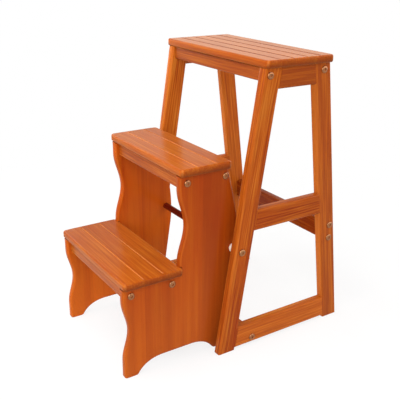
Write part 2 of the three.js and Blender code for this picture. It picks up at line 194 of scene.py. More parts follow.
paper, tree, output = new_material("White_backdrop_paper")
matt = add(tree, "BsdfDiffuse", {"Color": linear("FAF9F7")})
glow = add(tree, "Emission", {"Color": (1, 1, 1, 1), "Strength": 1.0})
place = add(tree, "TexCoord").outputs["Object"]
from_centre = add(tree, "VectorMath", {0: place}, operation="LENGTH").outputs["Value"]
white_share = remapped(tree, from_centre, (1 - shadow_share, 1.0), shadow_fade)
share = maths(tree, "MULTIPLY", seen_as_background(tree), white_share)
paper_mix = add(tree, "MixShader", {0: share, 1: matt.outputs[0], 2: glow.outputs[0]})
tree.links.new(paper_mix.outputs[0], output.inputs["Surface"])

floor_mesh = bpy.data.meshes.new("backdrop_floor")
h = floor_half_size
floor_mesh.from_pydata([(-h, -h, 0), (h, -h, 0), (h, h, 0), (-h, h, 0)], [], [(0, 1, 2, 3)])
floor_mesh.materials.append(paper)
floor = bpy.data.objects.new("backdrop_floor", floor_mesh)
bpy.context.scene.collection.objects.link(floor)

sky_light = 0.14
world = bpy.data.worlds.new("studio_sky")
world.use_nodes = True
bpy.context.scene.world = world
tree = world.node_tree
tree.nodes.clear()
white_sky = add(tree, "Background", {"Color": (1, 1, 1, 1), "Strength": 1.0})
dim_sky = add(tree, "Background", {"Color": (1, 1, 1, 1), "Strength": sky_light})
sky_inputs = {0: seen_as_background(tree), 1: dim_sky.outputs[0], 2: white_sky.outputs[0]}
sky_mix = add(tree, "MixShader", sky_inputs)
sky_output = tree.nodes.new("ShaderNodeOutputWorld")
tree.links.new(sky_mix.outputs[0], sky_output.inputs["Surface"])

# %% Softboxes
# Name: azimuth and elevation in degrees, distance in metres, width in metres, power in watts
softboxes = {
    "front_softbox": (40, 27, 2.4, 2.0, 42),
    "right_softbox": (128, 33, 2.6, 1.9, 23),
    "left_softbox": (278, 14, 2.6, 1.9, 30),
    "rear_softbox": (174, 24, 2.6, 2.0, 28),
    "top_softbox": (-12, 62, 2.2, 1.4, 33),
}
for name, (azimuth, elevation, distance, width, power) in softboxes.items():
    lamp = bpy.data.lights.new(name, "AREA")
    lamp.shape = "SQUARE"
    lamp.size = width
    lamp.energy = power
    box = bpy.data.objects.new(name, lamp)
    box.matrix_world = placed(view_axes(azimuth, elevation), distance)
    bpy.context.scene.collection.objects.link(box)
print("studio:", len(softboxes), "softboxes and a sky of strength", sky_light)

# %% [markdown]
# ## One surface for every piece
# Nearly every piece is a closed ring of points that is carried along a path: a tread board is a flat
# loop carried from end to end, a screw is a circle carried down its axis, and a side panel is its own
# outline carried over its rounded edge. So one function turns a grid of points, rings by points around,
# into a closed mesh. If the volume comes out negative, the faces look inwards and are turned round.

# %% The surface builder
crease_degrees = 32


def closed_surface(node, rings, hollow=False):
    """The finished piece for a node, from an array of rings shaped (rings, points around, 3). Face
    (i, j) joins points (i, j), (i, j+1), (i+1, j+1) and (i+1, j). The first and last rings are closed
    by one flat face each, or joined to each other where the piece is hollow. The volume is the sum over
    all triangles of a . (b x c) / 6."""
    count, around = rings.shape[:2]
    points = rings.reshape(-1, 3)
    index = np.arange(count * around).reshape(count, around)
    below = index if hollow else index[:-1]
    above = np.roll(index, -1, axis=0)[: len(below)]
    corners = [below, np.roll(below, -1, axis=1), np.roll(above, -1, axis=1), above]
    quads = np.stack(corners, axis=-1).reshape(-1, 4)
    caps = [] if hollow else [index[0, ::-1], index[-1]]
    fans = [np.stack([np.full(around - 2, c[0]), c[1:-1], c[2:]], axis=1) for c in caps]
    triangles = np.concatenate([quads[:, [0, 1, 2]], quads[:, [0, 2, 3]], *fans])
    a, b, c = points[triangles].transpose(1, 0, 2)
    volume = np.einsum("ij,ij->", a, np.cross(b, c)) / 6
    mesh = bpy.data.meshes.new(node + "_finished")
    mesh.from_pydata(points.tolist(), [], quads.tolist() + [cap.tolist() for cap in caps])
    mesh.shade_smooth()
    if volume < 0:
        mesh.flip_normals()
    mesh.validate()
    mesh.set_sharp_from_angle(angle=math.radians(crease_degrees))
    piece = bpy.data.objects.new(mesh.name, mesh)
    bpy.context.scene.collection.objects.link(piece)
    return piece


# %% [markdown]
# ## Lines for a wooden piece
# A flat piece of wood is drawn as two sheets, its two faces, that fall away towards each edge along a
# quarter circle. How far a face has fallen depends only on the distance to the edge, so the same
# formula serves a board, a stile and a rail. The lines of the grid crowd together near the edges,
# where the surface bends.

# %% Rounded edges and crowded lines
round_steps = 8
hold_width = 0.3 * MM


def edge_drop(distance, radius):
    """How far a face has fallen at a distance in from a rounded edge: r - sqrt(r^2 - (r - d)^2)."""
    inside = np.clip(radius - distance, 0, radius)
    return radius - np.sqrt(radius**2 - inside**2)


def edge_lines(radius):
    """Distances from an edge at which a rounded face needs a line: r (1 - cos t), then one more that
    keeps the flat part flat."""
    turn = np.linspace(0, math.pi / 2, round_steps + 1)
    return np.append(radius * (1 - np.cos(turn)), radius + hold_width)


def crowded(length, near_start, near_end, spacing):
    """Places from 0 to length: the lines near each end, and even ones between them."""
    start = near_start.max()
    end = length - near_end.max()
    middle = np.linspace(start, end, max(2, round((end - start) / spacing) + 1))
    places = np.concatenate([near_start, middle, length - near_end])
    return np.unique(np.round(places, decimals=7))


def eased_ends(length, radius, spacing):
    """Places along a bar with rounded ends, and how far its section draws in at each."""
    near_end = edge_lines(radius)
    x = crowded(length, near_end, near_end, spacing)
    return x, edge_drop(np.minimum(x, length - x), radius)


def two_sheets(upper, lower):
    """Rings for a piece with an upper and a lower sheet, each shaped (stations, lines, ...): out along
    the upper sheet and back along the lower one. It serves for points and for their values."""
    return np.concatenate([upper, lower[:, ::-1]], axis=1)


# %% [markdown]
# ## Grain that follows each piece
# A joiner cuts every piece with its grain along its length, so a leaning stile has leaning grain. Each
# piece carries its own wood coordinates, stored on its points as the attribute "grain": metres along,
# across and through the grain, from a different place in the log for every piece. "tone" makes one
# board a little darker than the next, and on some pieces it is also painted light and shade.
# "sanding_and_painted_light" says where the colour turns golden: where the stain is sanded thin, and
# where highlights and light are painted, on rounded edges, corners, flanks and towards the panels' feet.
# "end" says where the wood is darker: on sawn ends, where the open fibres drink in more stain, and on
# undersides and in crevices, which is painted shade.

# %% Wood coordinates
log = np.random.default_rng(seed=11)
log_reach = 2.0
tone_spread = 0.03
# How dark an underside is drawn: painted shade, as it faces away from the light.
underside_painted_shade = 0.6


def set_values(piece, name, kind, field, values):
    """Stores one value a point on a piece's mesh."""
    attribute = piece.data.attributes.new(name=name, type=kind, domain="POINT")
    attribute.data.foreach_set(field, np.asarray(values, np.float32).ravel())


def give_grain(piece, rings, along, across, sanding_and_painted_light, end=0, tone=1.0):
    """Stores grain, tone, sanding_and_painted_light and end. Grain is the dot product of each point with
    the directions along, across and through the wood, plus a random place in the log. An underside,
    where the normal points down, has an end value too, which paints shade on it."""
    axes = np.array([along, across, np.cross(along, across)], float)
    grain = rings.reshape(-1, 3) @ axes.T + log.uniform(-log_reach, log_reach, 3)
    normals = np.empty(3 * len(grain), np.float32)
    piece.data.vertices.foreach_get("normal", normals)
    # Undersides, where the normal points down, are drawn darker: painted shade.
    facing_down = np.clip(-normals[2::3], 0, 1).reshape(rings.shape[:2])
    end = np.maximum(end, underside_painted_shade * facing_down)
    own_tone = tone * (1 + log.uniform(-tone_spread, tone_spread))
    set_values(piece, "grain", "FLOAT_VECTOR", "vector", grain)
    for name, values in (("tone", own_tone), ("sanding_and_painted_light", sanding_and_painted_light), ("end", end)):
        set_values(piece, name, "FLOAT", "value", np.broadcast_to(values, rings.shape[:2]))


def rim_share(distance, radius):
    """One in the middle of a rounded edge, and zero at both its sides: sin(pi d / r)."""
    return np.sin(math.pi * np.clip(distance / radius, 0, 1))


def end_share(distance, radius):
    """One on the cut end of a piece, falling to zero over the rounded edge: (1 - d / r)^2."""
    return np.clip(1 - distance / radius, 0, 1) ** 2


def dress(piece, node, material):
    """The piece stands for a node of the frame, moves with the node's body and has its finish."""
    piece.data.materials.append(material)
    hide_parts(node)
    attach(piece, body_of[node])


# %% [markdown]
# ## Lacquered rubberwood
# Stools like this are made of rubberwood or pine, stained orange-brown and sprayed with clear lacquer.
# The eye sees soft bands of growth, 10 to 20 mm wide and very long, and finer streaks, about 3 mm wide.
# They are noise in the wood coordinates, stretched along the grain, so a board's end shows end grain.
# The stain takes unevenly, in redder and more golden blotches a few centimetres wide. Where it is
# sanded thin the wood is golden, and on sawn ends it is dark brown. The same golden colour is also
# painted where highlights and light fall, and the same dark brown where shade falls. The lacquer is a
# thin coat with only a weak mirror of the white studio. Fine dust and wear turn it hazy at a flat
# angle, most of all on the treads, and a golden sheen gives that.

# %% The wood material
# Noise sizes are features a metre along, across and through the grain.
bands_per_metre = (2.4, 75, 50)
streaks_per_metre = (8, 330, 260)
# Real pores are about 0.2 mm wide, too fine to show here, so they are drawn 0.7 mm wide.
pores_per_metre = (55, 1500, 1500)
pore_range = (0.30, 0.40)
pore_tone = 0.88
blotches_per_metre = (9, 28, 28)
blotch_range = (0.4, 0.65)
red_stain = "FFF2E0"
golden_stain = "FFFFFF"
wander_per_metre = (3, 9, 9)
wander_width = 4 * MM
noise_roughness = 0.55
figure_range = (0.36, 0.64)
tone_to_figure = 0.6
stave_tones = (0.93, 1.07)
# Dark brown of sawn end grain, which drinks in more stain; the same colour is painted shade on
# undersides, under the treads' edges and in the seat's grooves.
end_stain_and_shade = "5E210B"
end_stain_and_shade_strength = 0.75
# Share of the golden sanded colour where the stain is sanded thin and where highlights and light are
# painted.
rim_strength = 0.2
grain_relief = 0.12 * MM
relief_strength = 0.35
lacquer_roughness = (0.28, 0.18)
haze_tint = "FFCC78"


def stretched_noise(tree, coordinates, per_metre, detail):
    """Noise whose features have their own size along, across and through the grain."""
    scaled = add(tree, "VectorMath", {0: coordinates, 1: per_metre}, operation="MULTIPLY").outputs[0]
    inputs = {"Vector": scaled, "Scale": 1.0, "Detail": detail, "Roughness": noise_roughness}
    return add(tree, "TexNoise", inputs).outputs[0]


def stave_coordinates(tree, coordinates, stave_width):
    """Moves each stave of a glued panel to its own place in the log, and gives it its own tone. The
    stave's number is the whole part of the way across divided by the width."""
    across = add(tree, "SeparateXYZ", {0: coordinates}).outputs["Y"]
    number = maths(tree, "FLOOR", maths(tree, "MULTIPLY", across, 1 / stave_width))
    own = add(tree, "TexWhiteNoise", {"W": number}, noise_dimensions="1D").outputs
    moved = add(tree, "VectorMath", {0: own["Color"], 1: coordinates}).outputs[0]
    return moved, remapped(tree, own["Value"], stave_tones)


def figure_colour(tree, figure, dark, middle, light):
    """The wood's colour for its figure, a noise about 0.5, from dark through middle to light."""
    ramp = add(tree, "ValToRGB", {"Fac": figure})
    stops = ramp.color_ramp.elements
    stops[0].position, stops[1].position = figure_range
    stops[0].color = linear(dark)
    stops[1].color = linear(light)
    stops.new(sum(figure_range) / 2).color = linear(middle)
    return ramp.outputs["Color"]


def lacquered_wood(name, colours, sanded_and_lit, streak_share, haze, stave_width):
    """Stained and lacquered wood. Its figure is a mix of bands and streaks, whose colours run from dark
    through middle to light. It turns to the golden colour, for sanding and for painted highlights and
    light, with sanding_and_painted_light, and to the dark end colour, for end grain and for painted
    shade, with end. Haze is the weight of the sheen, and a stave width makes it a panel glued up of
    staves."""
    material, tree, output = new_material(name)
    coordinates = add(tree, "Attribute", attribute_name="grain").outputs["Vector"]
    tone, sanding_and_painted_light, end = (
        add(tree, "Attribute", attribute_name=value).outputs["Fac"] for value in ("tone", "sanding_and_painted_light", "end")
    )
    if stave_width:
        coordinates, stave_tone = stave_coordinates(tree, coordinates, stave_width)
        tone = maths(tree, "MULTIPLY", tone, stave_tone)

    wander = stretched_noise(tree, coordinates, wander_per_metre, detail=1)
    sideways = remapped(tree, wander, (-wander_width, wander_width))
    offset = add(tree, "CombineXYZ", {"Y": sideways, "Z": sideways}).outputs[0]
    warped = add(tree, "VectorMath", {0: coordinates, 1: offset}).outputs[0]
    bands = stretched_noise(tree, warped, bands_per_metre, detail=2)
    streaks = stretched_noise(tree, warped, streaks_per_metre, detail=3)
    pores = stretched_noise(tree, warped, pores_per_metre, detail=1)
    figure = add(tree, "Mix", {"Factor": streak_share, "A": bands, "B": streaks}).outputs["Result"]
    toned = maths(tree, "MULTIPLY_ADD", tone, tone_to_figure, figure)
    stain = figure_colour(tree, maths(tree, "SUBTRACT", toned, tone_to_figure), *colours)

    blotches = stretched_noise(tree, coordinates, blotches_per_metre, detail=1)
    golden_share = remapped(tree, blotches, (0.0, 1.0), blotch_range)
    blotchy = mixed(tree, golden_share, linear(red_stain), linear(golden_stain))
    stain = mixed(tree, 1.0, stain, blotchy, "MULTIPLY")
    # Golden where sanded and where highlights and light are painted; dark brown on end grain and where
    # shade is painted.
    stain = mixed(tree, maths(tree, "MULTIPLY", sanding_and_painted_light, rim_strength), stain, linear(sanded_and_lit))
    stain = mixed(tree, maths(tree, "MULTIPLY", end, end_stain_and_shade_strength), stain, linear(end_stain_and_shade))
    in_pores = remapped(tree, pores, (pore_tone, 1.0), pore_range)
    brightness = maths(tree, "MULTIPLY", tone, in_pores)
    colour = add(tree, "VectorMath", {0: stain, "Scale": brightness}, operation="SCALE")

    height = maths(tree, "ADD", streaks, pores)
    relief = {"Height": height, "Distance": grain_relief, "Strength": relief_strength}
    lacquer = {
        "Base Color": colour.outputs[0],
        "Roughness": remapped(tree, streaks, lacquer_roughness),
        "Normal": add(tree, "Bump", relief).outputs[0],
        "IOR": 1.5,
        "Specular IOR Level": 0.05,
        "Sheen Weight": haze,
        "Sheen Roughness": 0.45,
        "Sheen Tint": linear(haze_tint),
        "Coat Weight": 0.03,
        "Coat Roughness": 0.1,
        "Coat IOR": 1.5,
    }
    return surfaced(material, output, lacquer)


# Name: colours from dark to light, sanded colour, which also paints highlights and light, share of
# streaks, haze and stave width
woods = {
    "Stained_lacquered_rubberwood": (("8A320A", "AC5211", "C27024"), "DC7A2E", 0.65, 0.09, None),
    "Stained_lacquered_rubberwood_tread": (("9E440A", "AC500E", "BC641A"), "F09C50", 0.7, 0.21, None),
    "Stained_lacquered_rubberwood_panel": (
        ("9A3A09", "A4430A", "AE4F0D"), "DC7A2E", 0.18, 0.05, 68 * MM
    ),
    # The dowel is drawn dark red-brown: painted shade, as it lies in the shade between the side panels.
    "Lacquered_dowel_painted_shade": (("64170A", "7A1E0C", "902C14"), "902C14", 0.5, 0.05, None),
}
frame_wood, tread_wood, panel_wood, rod_wood_painted_shade = (
    lacquered_wood(name, *look) for name, look in woods.items()
)
print("woods:", ", ".join(woods))

# %% [markdown]
# ## Tread boards
# Each tread is glued up from boards. Its outer edge and corners are well rounded, and a V-groove at
# every joint hides a step between two boards. A board is a loop across its width, carried from end to
# end. Its faces fall away by the distance to the tread's outline, a rectangle with round corners, or by
# the distance to the groove, whichever is more. The grooves run out before the ends, so the tread's end
# edge is whole. Those of the top tread, the seat, are wider and drawn dark: painted shade in the V.
# Those of the other two are drawn lighter and show as light lines. The corners carry a painted
# highlight, and the rim of each underside painted shade.

# %% Tread sizes, finish and painted shading
tread_edge = 4 * MM
tread_corner = 9 * MM
groove_depth = 2.3 * MM
groove_shoulder = 0.9
groove_stop = 5 * MM
groove_runout = 8 * MM
no_groove = 1.0
# Tread: half width of its grooves, share of painted shade in them and how much lighter they are drawn
groove_size_and_shading = {
    "top_tread": (2.3 * MM, 1.0, 0.0),
    "middle_tread": (1.7 * MM, 0.0, 4.5),
    "lower_tread": (1.7 * MM, 0.0, 4.5),
}
# Painted highlight on the treads' rounded corners: its strength, and how far it reaches along the edge.
corner_painted_highlight = 2.5
corner_highlight_reach = 1.5
end_stain_share = 0.4
# Painted shade along the rim of an underside: its width in edge widths, and its share at the front
shade_under_reach = 2
front_shade_under_share = 0.35
# Tread: the tone of each board, from front to rear. The lighter front boards are partly their own
# tone and partly painted sheen
tread_tones = {
    "top_tread": (1.08, 1.04, 1.06, 1.03, 1.0),
    "middle_tread": (1.08, 1.01, 0.98),
    "lower_tread": (1.05, 0.98, 0.95),
}
board_gap = 0.2 * MM
board_spacing = 16 * MM


# %% The grid of a board
def outline_distance(x, y, centre, half):
    """Distance in from the outline of a rectangle with round corners of radius c, and a share that is
    one at its corners. With q the way past the corner's centre in X and in Y, the distance is
    c - |max(q, 0)| - min(max(qx, qy), 0)."""
    q = np.abs(np.stack([x - centre[0], y - centre[1]])) - np.reshape(half - tread_corner, (2, 1, 1))
    distance = tread_corner - np.hypot(*np.maximum(q, 0)) - np.minimum(q.max(axis=0), 0)
    return distance, np.clip(1 + corner_highlight_reach * (q.min(axis=0) / tread_corner - 1), 0, 1)


def board_grid(front, rear, centre, half, outer, groove_half_width):
    """X and Y of a board's grid. Its lines crowd at both ends and at both long edges. At the ends an
    outer edge is drawn in round the corner, by the formula of a rounded edge."""
    ends = np.union1d(edge_lines(tread_edge), edge_lines(tread_corner))
    x = crowded(2 * half[0], ends, ends, board_spacing) - half[0] + centre[0]
    inset = edge_drop(half[0] - np.abs(x - centre[0]), tread_corner)
    y_start = front + outer[0] * inset
    y_end = rear - outer[1] * inset
    shoulder = groove_shoulder * groove_half_width
    at_groove = np.array([0, shoulder, groove_half_width, groove_half_width + hold_width])
    start_lines, end_lines = (edge_lines(tread_edge) if own else at_groove for own in outer)
    shares = crowded(rear - front, start_lines, end_lines, board_spacing) / (rear - front)
    y = y_start[:, None] + shares[None, :] * (y_end - y_start)[:, None]
    return np.broadcast_to(x[:, None], y.shape), y


# %% Tread boards
def tread_board(tread, node, centre, half, outer, tone):
    """One board of a tread whose centre and half size are given. Outer says of its front and its rear
    edge whether the tread ends there. If not, a groove runs along it."""
    groove_half_width, groove_shade_share, groove_lightening = groove_size_and_shading[tread]
    low, high = box_of(node)
    front = low[1] - (0 if outer[0] else board_gap / 2)
    rear = high[1] + (0 if outer[1] else board_gap / 2)
    x, y = board_grid(front, rear, centre, half, outer, groove_half_width)
    to_edge, at_corner = outline_distance(x, y, centre, half)
    to_groove = np.minimum(y - front + no_groove * outer[0], rear - y + no_groove * outer[1])
    from_end = half[0] - np.abs(x - centre[0])
    runout = np.clip((from_end - groove_stop) / groove_runout, 0, 1)
    groove = runout * np.clip(1 - to_groove / groove_half_width, 0, 1)
    fall = np.maximum(edge_drop(to_edge, tread_edge), groove_depth * groove)
    upper = np.dstack([x, y, high[2] - fall])
    rings = two_sheets(upper, np.dstack([x, y, low[2] + edge_drop(to_edge, tread_edge)]))
    piece = closed_surface(node, rings)

    # The rounded corners are drawn lighter: painted highlight.
    corner_highlight = corner_painted_highlight * at_corner * (to_edge < tread_edge)
    sanded_and_lit = np.maximum(groove_lightening * groove, corner_highlight)
    cut = end_stain_share * end_share(from_end, tread_edge)
    # The seat's grooves are drawn dark: painted shade in the V.
    groove_shade = groove_shade_share * np.clip(groove / (1 - groove_shoulder), 0, 1)
    # The rim of the underside is drawn dark, most at the ends: painted shade under the tread's edge.
    painted_shade_under = np.clip(shade_under_reach - from_end / tread_edge, front_shade_under_share, 1)
    painted_shade_under *= to_edge < shade_under_reach * tread_edge
    end = two_sheets(np.maximum(cut, groove_shade), np.maximum(cut, painted_shade_under))
    give_grain(piece, rings, (1, 0, 0), (0, 1, 0), two_sheets(sanded_and_lit, sanded_and_lit), end, tone)
    dress(piece, node, tread_wood)


for tread, tones in tread_tones.items():
    names = [f"{tread}_board_{number}" for number in range(1, len(tones) + 1)]
    corners = np.concatenate([box_of(name) for name in names])
    low, high = corners.min(axis=0), corners.max(axis=0)
    centre, half = (low + high)[:2] / 2, (high - low)[:2] / 2
    for name, tone in zip(names, tones):
        tread_board(tread, name, centre, half, (name == names[0], name == names[-1]), tone)
    print(tread, "is", np.round((high - low) / MM, 1), "mm")

# %% [markdown]
# ## Side frames
# Each side frame is two leaning stiles with three rails between them, glued flush and then rounded
# with a router that runs round the outside and round each opening. So the rounding follows the free
# edges of the whole frame, turns the corner of each opening, and stops where a rail meets a stile. A
# stile or rail is a four-cornered patch, and its faces fall away by the distance to the nearest free
# edge of the frame. A hairline V marks each glued joint. The narrow flanks, planed across a belt, keep
# less stain than the faces and are more golden. The rounded edges carry a painted highlight, and the
# rear stiles' front flanks and the bottom rails are drawn lighter still, which is painted light. The
# left frame is drawn lighter than the right: painted light for its shaded inner faces.

# %% Free edges and joints of the side frames
frame_edge = 4.5 * MM
foot_edge = 1.2 * MM
# Piece: tone on the right side and on the left, and how much lighter its flanks and its faces are
# drawn. These are partly painted light: the left side for its shaded inner faces, the bottom rails for
# the floor's light and the rear stiles' flanks for the front light
frame_finish_and_light = {
    "front_stile": (0.96, 1.15, 0.5, 0.05),
    "rear_stile": (0.91, 0.99, 4.0, 0.9),
    "top_rail": (0.82, 0.95, 1.0, 0.8),
    "middle_rail": (0.94, 1.05, 1.0, 0.1),
    "bottom_rail": (1.02, 1.12, 1.0, 1.0),
}
joint_line = 0.35 * MM
member_spacing = 14 * MM
below_floor = -20 * MM
level_tolerance = 0.01 * MM


def node_points(node):
    """All the points of a node's mesh."""
    mesh = frame["nodes"][node].data
    points = np.empty(3 * len(mesh.vertices))
    mesh.vertices.foreach_get("co", points)
    return points.reshape(-1, 3)


def member_corners(node):
    """Corners of a stile or rail in Y and Z, shaped (low or high, front or rear, 2), read from the
    points at its lowest and highest level."""
    _, y, z = node_points(node).T
    corners = []
    for level in (z.min(), z.max()):
        at_level = y[np.abs(z - level) < level_tolerance]
        corners.append([[at_level.min(), level], [at_level.max(), level]])
    return np.array(corners)


def on_edge(corners, edge, z):
    """The point of a stile's front (0) or rear (1) edge at a height."""
    (low_y, low_z), (high_y, high_z) = corners[0, edge], corners[1, edge]
    share = (z - low_z) / (high_z - low_z)
    return np.array([low_y + share * (high_y - low_y), z])


def frame_edges(side):
    """Free edges and glued joints of one side frame, each an array of segments (count, 2 ends, 2)."""
    front = member_corners(side + "_front_stile")
    rear = member_corners(side + "_rear_stile")
    inner = ((front, 1), (rear, 0))
    spans = [member_corners(f"{side}_{name}_rail")[:, 0, 1] for name in ("bottom", "middle", "top")]
    free = [(front[0, 0], front[1, 0]), (rear[0, 1], rear[1, 1])]
    openings = [(below_floor, spans[0][0]), (spans[0][1], spans[1][0]), (spans[1][1], spans[2][0])]
    for low, high in openings:
        up_front = (on_edge(front, 1, low), on_edge(front, 1, high))
        up_rear = (on_edge(rear, 0, low), on_edge(rear, 0, high))
        free += [up_front, up_rear, (up_front[1], up_rear[1])]
        if low > 0:
            free.append((up_front[0], up_rear[0]))
    joints = [[on_edge(stile, edge, z) for z in span] for span in spans for stile, edge in inner]
    return np.array(free), np.array(joints), np.array(spans)


def distance_to(points, segments):
    """Distance from each point to the nearest segment: the point is dropped on the segment's line at
    share t, held between 0 and 1."""
    start, way = segments[:, 0], segments[:, 1] - segments[:, 0]
    offset = points[..., None, :] - start
    t = np.clip((offset * way).sum(-1) / (way**2).sum(-1), 0, 1)
    return np.linalg.norm(offset - t[..., None] * way, axis=-1).min(axis=-1)


edges_of = {side: frame_edges(side) for side in ("left", "right")}
print("a side frame has", len(edges_of["left"][0]), "free edges")


# %% Stiles and rails
def frame_member(side, name):
    """A stile or rail: a patch between four corners, with stations along it and lines across it. Point
    (a, b) is the mix of the corners in the shares a and b. Both faces are this patch, a thickness apart,
    less the fall at each point."""
    node = f"{side}_{name}"
    free, joints, spans = edges_of[side]
    corners = member_corners(node)
    is_stile = name.endswith("stile")
    if not is_stile:
        corners = corners.transpose(1, 0, 2)
    low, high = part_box(node)
    length = np.linalg.norm(corners[1, 0] - corners[0, 0])
    width = np.linalg.norm(corners[0, 1] - corners[0, 0])
    near_edge = np.union1d(edge_lines(frame_edge), [joint_line])
    across = crowded(width, near_edge, near_edge, member_spacing) / width
    if is_stile:
        height = corners[1, 0, 1]
        at_rails = np.add.outer(spans.ravel(), np.append(-near_edge, near_edge)).ravel()
        at_foot = edge_lines(foot_edge)
        even = crowded(height, at_foot, np.zeros(1), member_spacing)
        stations = np.unique(np.round(np.concatenate([even, at_rails]), decimals=6))
        stations = stations[(stations >= 0) & (stations <= height)] / height
    else:
        at_ends = np.array([0, joint_line, 2 * joint_line])
        stations = crowded(length, at_ends, at_ends, member_spacing) / length
    a, b = stations[:, None, None], across[None, :, None]
    start = corners[0, 0] * (1 - b) + corners[0, 1] * b
    end = corners[1, 0] * (1 - b) + corners[1, 1] * b
    plane = start * (1 - a) + end * a

    to_free = distance_to(plane, free)
    fall = edge_drop(to_free, frame_edge)
    fall = np.maximum(fall, joint_line - distance_to(plane, joints))
    fall = np.maximum(fall, edge_drop(plane[..., 1], foot_edge))
    rings = two_sheets(np.dstack([high.x - fall, plane]), np.dstack([low.x + fall, plane]))
    piece = closed_surface(node, rings)
    way = corners[1].mean(axis=0) - corners[0].mean(axis=0)
    along = np.array([0, *(way / np.linalg.norm(way))])
    right_tone, left_tone, flank_sanding_and_light, face_sanding_and_light = frame_finish_and_light[name]
    # Flanks, faces and rounded edges drawn lighter: sanding, and painted light and painted highlight.
    lit_flank = flank_sanding_and_light * end_share(to_free, frame_edge)
    sanded_and_lit = np.maximum(rim_share(to_free, frame_edge), np.maximum(lit_flank, face_sanding_and_light))
    sanding_and_painted_light = two_sheets(sanded_and_lit, sanded_and_lit)
    # The left frame's higher tone is painted light for its shaded inner faces.
    tone = left_tone if side == "left" else right_tone
    give_grain(piece, rings, along, np.cross((1, 0, 0), along), sanding_and_painted_light, tone=tone)
    dress(piece, node, frame_wood)
    print(node, "is", round(length / MM), "mm long")


for side in ("left", "right"):
    for name in frame_finish_and_light:
        frame_member(side, name)

# %% [markdown]
# ## Bars and rails that run across
# The bars under the treads, the front stretcher and the rear cross rail are plain planed stock with
# eased edges. Each is a rectangle with round corners, carried along X from end to end.

# %% Bars
bar_edge = 2.5 * MM
bar_end_edge = 0.6 * MM
corner_steps = 6


def rounded_rectangle(half_width, half_height, radius):
    """Points round a rectangle with round corners. Each corner's arc is its centre plus radius times
    (cos t, sin t), over a quarter turn."""
    turn = np.linspace(0, math.pi / 2, corner_steps + 1) + math.pi / 2 * np.arange(4)[:, None]
    signs = np.array([[1, 1], [-1, 1], [-1, -1], [1, -1]])
    centres = signs * [half_width - radius, half_height - radius]
    arcs = centres[:, None, :] + radius * np.stack([np.cos(turn), np.sin(turn)], axis=-1)
    return arcs.reshape(-1, 2)


def cross_bar(node, tone, sanding_and_sheen):
    """A bar along X. Near each end the section draws in by the fall of a small rounded edge."""
    low, high = box_of(node)
    centre, half = (low + high) / 2, (high - low) / 2
    x, inset = eased_ends(2 * half[0], bar_end_edge, board_spacing)
    section = rounded_rectangle(half[1], half[2], bar_edge)
    shrink = 1 - inset[:, None, None] / half[None, None, 1:]
    around = section[None] * shrink + centre[1:]
    x = np.broadcast_to((x + low[0])[:, None], around.shape[:2])
    rings = np.dstack([x, around])
    piece = closed_surface(node, rings)
    to_edge = (half[1:] - np.abs(section)).sum(axis=1)
    # Rounded edges drawn lighter, sanding and painted highlight; the front bars all over, painted sheen.
    sanding_and_painted_light = np.maximum(rim_share(to_edge, bar_edge), sanding_and_sheen)[None]
    give_grain(piece, rings, (1, 0, 0), (0, 0, 1), sanding_and_painted_light, tone=tone)
    dress(piece, node, frame_wood)


# Bar: its tone, and how much lighter its stain is drawn: sanding, and on the front bars painted sheen.
# The rear cross rail's low tone is painted shade
bar_finish_and_light = {
    "top_front_bar": (0.9, 0.9),
    "top_rear_bar": (1.0, 0.3),
    "front_stretcher": (1.0, 0.3),
    # Painted shade: the rear cross rail stands in shade behind the step unit.
    "rear_cross_rail": (0.82, 0.0),
    "lower_front_bar": (0.94, 0.7),
    "lower_rear_bar": (1.0, 0.3),
    "middle_front_bar": (0.96, 0.7),
    "middle_rear_bar": (1.0, 0.3),
}
for name, (tone, sanding_and_sheen) in bar_finish_and_light.items():
    cross_bar(name, tone, sanding_and_sheen)
print(len(bar_finish_and_light), "bars")

# %% [markdown]
# ## Side panels of the step unit
# The step unit's two sides are cut from a glued panel with a bandsaw: a hollow waist under each tread,
# a back that leans in over a rounded heel, and an arch between two feet. The outline is worked out
# as one closed line. Then it is carried over the panel's rounded edge: at turn t the line is drawn in
# by r (1 - sin t) and stands r (1 - cos t) lower than the face. Where a tread sits, r is small. The
# panel is deepest in colour at the top and turns lighter and more golden towards the feet, which is
# painted light from the white floor. Its edges across the grain are darker: end-grain stain, and
# painted shade under the treads.

# %% The panel's outline
foot_width = 31 * MM
arch_height = 28 * MM
arch_shoulder = 56 * MM
arch_start_shares = (0.18, 0.5)
arch_crown_shares = (0.43, 0.96)
lower_waist = (13 * MM, 40 * MM, 176 * MM)
upper_waist = (16 * MM, 227 * MM, 388 * MM)
knee_height = 190 * MM
back_handle = 70 * MM
panel_edge = 5 * MM
seat_edge = 0.6 * MM
back_slope = math.tan(math.radians(15.6))
heel_slope = math.tan(math.radians(8.6))
curve_points = 60


def straight(*corners):
    """Points along the straight lines from corner to corner."""
    share = np.linspace(0, 1, curve_points)[:, None]
    pairs = zip(np.array(corners[:-1]), np.array(corners[1:]))
    return np.concatenate([(1 - share) * start + share * end for start, end in pairs])


def waist(y, depth, z_low, z_high):
    """A hollow in an upright edge: its depth times (1 - cos 2 pi s) / 2."""
    share = np.linspace(0, 1, curve_points)
    hollow = depth * (1 - np.cos(2 * math.pi * share)) / 2
    return np.stack([y + hollow, z_low + share * (z_high - z_low)], axis=1)


def bezier(a, b, c, d):
    """A cubic Bezier curve: the four corners weighted (1-s)^3, 3s(1-s)^2, 3s^2(1-s) and s^3."""
    s = np.linspace(0, 1, curve_points)[:, None]
    return (1 - s) ** 3 * a + 3 * s * (1 - s) ** 2 * b + 3 * s**2 * (1 - s) * c + s**3 * d


